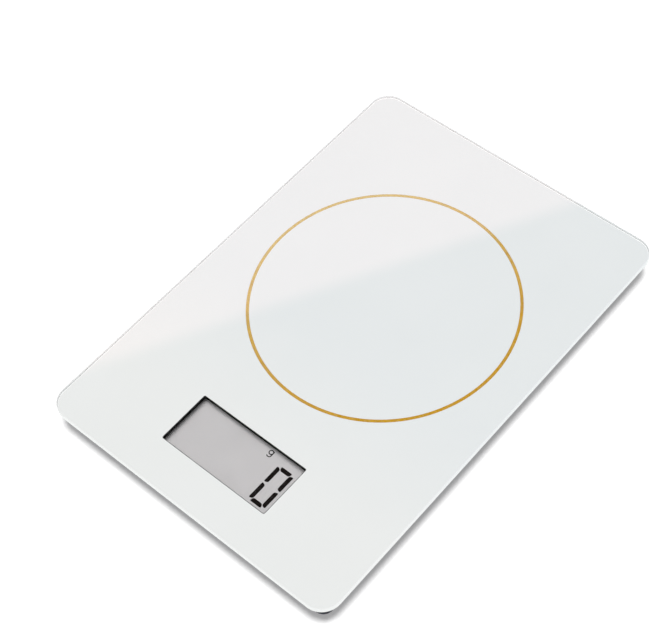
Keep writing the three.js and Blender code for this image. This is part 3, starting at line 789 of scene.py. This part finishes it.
def cover_cutters():
    """Cutters for the feet, the screws, the bay with its doorway, and the contacts' legs."""
    below = COVER_LOW.z - CUT_PAST
    above = COVER_TOP + CUT_PAST
    roof = COVER_HIGH.z
    head_hole = SCREW_HEAD + GAP
    for corner in CORNERS:
        yield hole_cutter(FOOT_CUP + GAP, COVER_LOW.z, above, 0.4 * MM, middle("foot_" + corner))
    for place in COVER_SCREW_PLACES:
        yield hole_cutter(head_hole, COVER_LOW.z, COVER_LOW.z + 1 * MM, 0.2 * MM, place)
        yield post(place, SCREW_HOLE, below, COVER_TOP + 2 * MM)
    for place in BOARD_SCREW_PLACES:
        yield post(place, head_hole, COVER_TOP - 0.8 * MM, above)
    doorway = shrink(size_of("battery_door"), -GAP)
    yield block(BAY_SIZE, below, roof - 1 * MM, BAY_CENTRE, 0.5 * MM)
    yield block(doorway, below, COVER_TOP, BAY_CENTRE, 1.2 * MM)
    leg_slot = (1.2 * MM, 5 * MM)
    for leg_x in (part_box("cell_contact_minus")[0].x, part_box("cell_contact_plus")[1].x):
        yield block(leg_slot, roof - 2 * MM, roof + CUT_PAST, (leg_x, BAY_CENTRE[1]))


def add_bottom_cover():
    """Flat cover with a lip, holes for feet and screws, and the coin cell's bay."""
    corner = 6.5 * MM
    low_edge = 0.6 * MM
    high_edge = 0.15 * MM
    panel = plate(size_of("bottom_cover"), corner, COVER_LOW.z, COVER_TOP, low_edge, high_edge)
    piece = start_piece("cover_shell", panel)
    boolean(piece, cover_additions(), "UNION")
    boolean(piece, cover_cutters(), "DIFFERENCE")
    finish_piece(piece, ["housing"], "base", ["bottom_cover"])


# ---- Feet ----

def add_foot(corner):
    """Cup held behind the cover by its flange, with a hub that reaches up to the load cell."""
    node = "foot_" + corner
    low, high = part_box(node)
    flange = (high.x - low.x) / 2
    hub = 3 * MM
    flange_low = COVER_TOP + GAP
    flange_high = flange_low + 1 * MM
    edge = 0.6 * MM
    soft = 0.25 * MM
    profile = [(FOOT_CUP - inset, low.z + drop) for inset, drop in rounding(edge)][::-1]
    profile += [(FOOT_CUP, flange_low - soft), (FOOT_CUP + soft, flange_low)]
    profile += [(flange - inset, flange_low + drop) for inset, drop in rounding(soft)][::-1]
    profile += [(flange - inset, flange_high - drop) for inset, drop in rounding(soft)]
    profile += [(hub + soft, flange_high), (hub, flange_high + soft)]
    profile += [(hub - inset, high.z - drop) for inset, drop in rounding(soft)]
    piece = start_piece("foot_cup_" + corner, turned(profile, middle(node)))
    finish_piece(piece, ["housing"], node, [node])


def add_foot_pad(corner):
    """Rubber disc with round ridges on the face that it stands on."""
    node = "foot_pad_" + corner
    low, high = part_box(node)
    radius = (high.x - low.x) / 2
    pitch = radius / 5
    ridge_width = pitch * 0.6
    groove = 0.25 * MM
    edge = 0.35 * MM
    chamfer = 0.1 * MM
    profile = [(ridge_width, low.z + groove)]
    for ridge in range(1, 4):
        start = pitch * ridge
        end = start + ridge_width
        profile += [(start, low.z + groove), (start + groove / 2, low.z)]
        profile += [(end, low.z), (end + groove / 2, low.z + groove)]
    rim = pitch * 4
    profile += [(rim, low.z + groove), (rim + groove / 2, low.z)]
    profile += [(radius - inset, low.z + drop) for inset, drop in rounding(edge)][::-1]
    profile += [(radius - chamfer, high.z - chamfer), (radius - 2 * chamfer, high.z)]
    piece = start_piece("foot_rubber_" + corner, turned(profile, middle(node)))
    finish_piece(piece, ["rubber"], "foot_" + corner, [node])


# ---- Key, battery door, coin cell and screws ----

def add_side_key():
    """Soft-edged cap with a shallow dish, a flange behind the wall, and a stem to the switch."""
    cap_outer = KEY_HIGH.x
    flange_outer = cap_outer - 3.8 * MM
    flange_inner = flange_outer - 1 * MM
    edge = 0.5 * MM
    dish_depth = 0.2 * MM

    def section(x, inset):
        outline = rounded_rect(shrink(KEY_FACE, inset), KEY_CORNER - inset, (KEY_Z, KEY_Y))
        return [(x, y, z) for z, y in outline]

    rings = [section(flange_inner, 0)]
    rings += [section(cap_outer - drop, inset) for inset, drop in rounding(edge)]
    rings += [section(cap_outer - dish_depth / 4, 0.8 * MM), section(cap_outer - dish_depth, 1.2 * MM)]
    piece = start_piece("key_cap", loft(rings))
    flange_size = (flange_outer - flange_inner, 18 * MM)
    flange_centre = ((flange_inner + flange_outer) / 2, KEY_Y)
    stem_end = flange_inner + EMBED
    stem_size = (stem_end - KEY_LOW.x, 3 * MM)
    stem_centre = ((KEY_LOW.x + stem_end) / 2, KEY_Y)
    boolean(piece, [
        block(flange_size, KEY_LOW.z, KEY_HIGH.z, flange_centre),
        block(stem_size, KEY_Z - 1 * MM, KEY_Z + 1 * MM, stem_centre),
    ], "UNION")
    finish_piece(piece, ["housing"], "side_key", ["side_key"])


def add_battery_door():
    """Flush panel with snap tabs inside, a fingernail notch and grip grooves."""
    low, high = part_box("battery_door")
    size = size_of("battery_door")
    top = low.z + 1.25 * MM
    corner = 1 * MM
    low_edge = 0.2 * MM
    high_edge = 0.1 * MM
    panel = plate(size, corner, low.z, top, low_edge, high_edge, BAY_CENTRE)
    piece = start_piece("door_panel", panel)
    tab_size = (3 * MM, 1 * MM)
    tab_x, tab_y = 7 * MM, 12.2 * MM
    tabs = [
        block(tab_size, top - EMBED, high.z, (BAY_CENTRE[0] + x, BAY_CENTRE[1] + y))
        for x in (-tab_x, tab_x)
        for y in (-tab_y, tab_y)
    ]
    boolean(piece, tabs, "UNION")
    front = BAY_CENTRE[1] - size[1] / 2
    below = low.z - CUT_PAST
    notch, notch_depth = (9 * MM, 2.4 * MM), 0.7 * MM
    groove, groove_depth, pitch = (12 * MM, 0.6 * MM), 0.25 * MM, 1.4 * MM
    cuts = [block(notch, below, low.z + notch_depth, (BAY_CENTRE[0], front), 1.1 * MM)]
    for row in range(5):
        place = (BAY_CENTRE[0], front + 4 * MM + row * pitch)
        cuts.append(block(groove, below, low.z + groove_depth, place, 0.28 * MM))
    boolean(piece, cuts, "DIFFERENCE")
    finish_piece(piece, ["housing"], "battery_door", ["battery_door"])


def add_coin_cell():
    """Can with its wide face down, and the narrower cap a step above its crimped rim."""
    low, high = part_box("coin_cell")
    radius = (high.x - low.x) / 2
    cap = radius - 1.4 * MM
    rim_top = high.z - 0.35 * MM
    groove = high.z - 0.6 * MM
    edge = 0.4 * MM
    profile = [(radius - inset, low.z + drop) for inset, drop in rounding(edge)][::-1]
    profile += [(radius - inset, rim_top - drop) for inset, drop in rounding(edge)]
    profile += [(cap + 0.35 * MM, rim_top), (cap + 0.3 * MM, groove), (cap, groove)]
    profile += [(cap - inset, high.z - drop) for inset, drop in rounding(0.2 * MM)]
    piece = start_piece("coin_cell_can", turned(profile, middle("coin_cell"), 96))
    finish_piece(piece, ["nickel"], "coin_cell", ["coin_cell"])


def add_screw(node):
    """Pan-head screw, head down, with a cross recess and a thread."""
    low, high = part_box(node)
    place = middle(node)
    core, thread, tip = 0.9 * MM, 1.1 * MM, 0.15 * MM
    pitch, root = 0.8 * MM, 0.1 * MM
    head_top = low.z + 1 * MM
    profile = [(SCREW_HEAD - inset, low.z + drop) for inset, drop in rounding(0.4 * MM)][::-1]
    profile += [(SCREW_HEAD, head_top - 0.15 * MM), (SCREW_HEAD - 0.1 * MM, head_top)]
    height = head_top
    while height < high.z - 1.5 * pitch:
        profile += [(core, height + root), (thread, height + pitch / 2)]
        height += pitch
    profile += [(core, height + root), (tip, high.z)]
    piece = start_piece(node + "_body", turned(profile, place, 32))
    long, short = 2.8 * MM, 0.6 * MM
    recess_top = low.z + 0.6 * MM
    arms = [
        block(size, low.z - CUT_PAST, recess_top, place, 0.1 * MM)
        for size in ((long, short), (short, long))
    ]
    boolean(piece, arms, "DIFFERENCE")
    finish_piece(piece, ["steel"], "base", [node], smooth_angle=30)


# ---- Floor and light ----

def add_floor():
    """White paper that glows a little, so that its tone stays close to white."""
    surface = Surface("floor_paper", Roughness=0.9, Specular_IOR_Level=0.0, Emission_Strength=0.25)
    surface.shader.inputs["Emission Color"].default_value = (1, 1, 1, 1)
    paper = surface.mix(surface.noise(90 * MM, 2), (0.97, 0.97, 0.97), (0.98, 0.98, 0.98))
    surface.wire(paper, "Base Color")
    radius = 4000 * MM
    outline = circle(radius, 96)
    piece = start_piece("floor", loft([at_height(outline, -2 * MM), at_height(outline, 0)]))
    piece.data.materials.append(surface.material)


def add_soft_lamp(name, azimuth, elevation, spread, strength, linked, state):
    """A distant softbox. Azimuth runs from +X towards +Y, and spread is how wide it looks, in degrees.

    With the state INCLUDE it lights only the linked pieces, and with EXCLUDE all but these.
    Its disc is hidden from mirrored rays and from those that leave through the glass.
    """
    data = bpy.data.lights.new(name, "SUN")
    data.energy = strength
    data.angle = math.radians(spread)
    lamp = bpy.data.objects.new(name, data)
    lamp.visible_glossy = False
    lamp.visible_transmission = False
    bpy.context.scene.collection.objects.link(lamp)
    level = math.cos(math.radians(elevation))
    towards = Vector((
        level * math.cos(math.radians(azimuth)),
        level * math.sin(math.radians(azimuth)),
        math.sin(math.radians(elevation)),
    ))
    lamp.matrix_world = towards.to_track_quat("Z", "Y").to_matrix().to_4x4()
    receivers = bpy.data.collections.new(name + "_receivers")
    lamp.light_linking.receiver_collection = receivers
    for piece in linked:
        receivers.objects.link(piece)
    for entry in receivers.collection_objects:
        entry.light_linking.link_state = state


class Room:
    """Node tree of the world, with short calls for sums on the direction that a ray leaves in."""

    def __init__(self, name):
        world = bpy.data.worlds.new(name)
        bpy.context.scene.world = world
        world.use_nodes = True
        self.tree = world.node_tree
        self.nodes = self.tree.nodes
        self.links = self.tree.links
        self.direction = self.nodes.new("ShaderNodeTexCoord").outputs["Generated"]
        self.path = self.nodes.new("ShaderNodeLightPath").outputs

    def along(self, axis, start, end):
        """Rises smoothly from 0 to 1 as the ray's share along the axis goes from start to end."""
        share = self.nodes.new("ShaderNodeVectorMath")
        share.operation = "DOT_PRODUCT"
        share.inputs[1].default_value = axis
        self.links.new(self.direction, share.inputs[0])
        step = self.nodes.new("ShaderNodeMapRange")
        step.interpolation_type = "SMOOTHSTEP"
        step.inputs["From Min"].default_value = start
        step.inputs["From Max"].default_value = end
        self.links.new(share.outputs["Value"], step.inputs["Value"])
        return step.outputs["Result"]

    def mix(self, factor, first, second):
        return mix_colours(self.tree, factor, first, second)


def light_studio(camera):
    """Pale room with a dark part and a light part, whose straight border the glass mirrors.

    The border is placed so that from the main camera it runs over the glass from the left edge,
    near the display, to the far edge.
    """
    dark_part = (0.02, 0.02, 0.02)
    light_part = (1.95, 1.16, 1.12)
    room_around = (0.6, 0.6, 0.6)
    soft_light = (0.22, 0.22, 0.22)
    background = (1.0, 1.0, 1.0)
    half_blur = 0.006
    patch_end = math.radians(30)
    patch_full = math.radians(21)
    border_near = Vector((GLASS_LOW.x + 8 * MM, GLASS_LOW.y + 35 * MM, GLASS_HIGH.z))
    border_far = Vector((GLASS_HIGH.x - 42 * MM, GLASS_HIGH.y - 0.6 * MM, GLASS_HIGH.z))
    eye = camera.matrix_world.translation
    mirrored_eye = Vector((eye.x, eye.y, 2 * GLASS_HIGH.z - eye.z))
    border = (border_near - mirrored_eye).cross(border_far - mirrored_eye).normalized()
    forward = camera.matrix_world.to_3x3() @ Vector((0, 0, -1))
    mirrored_forward = Vector((forward.x, forward.y, -forward.z))
    room = Room("studio")
    halves = room.mix(room.along(border, -half_blur, half_blur), dark_part, light_part)
    patch = room.along(mirrored_forward, math.cos(patch_end), math.cos(patch_full))
    mirrored = room.mix(patch, room_around, halves)
    reflected = room.mix(room.path["Is Glossy Ray"], soft_light, mirrored)
    seen = room.mix(room.path["Is Camera Ray"], reflected, background)
    room.links.new(seen, room.nodes["Background"].inputs["Color"])
    bpy.context.scene.view_settings.view_transform = "Standard"


camera = add_camera()
add_glass()
add_white_print()
add_ring()
recess = [add_bezel(), add_gasket(), add_lcd(), add_readout()]
add_upper_housing()
add_bottom_cover()
for corner in CORNERS:
    add_foot(corner)
    add_foot_pad(corner)
add_side_key()
add_battery_door()
add_coin_cell()
for name in COVER_SCREWS:
    add_screw("cover_screw_" + name)
for name in BOARD_SCREWS:
    add_screw("board_screw_" + name)
paint_cad_nodes()
add_floor()
add_soft_lamp(
    "key_light", azimuth=-33, elevation=80, spread=16.6, strength=2.6, linked=recess, state="EXCLUDE")
add_soft_lamp(
    "display_light", azimuth=150, elevation=64, spread=48, strength=2.39, linked=recess, state="INCLUDE")
light_studio(camera)
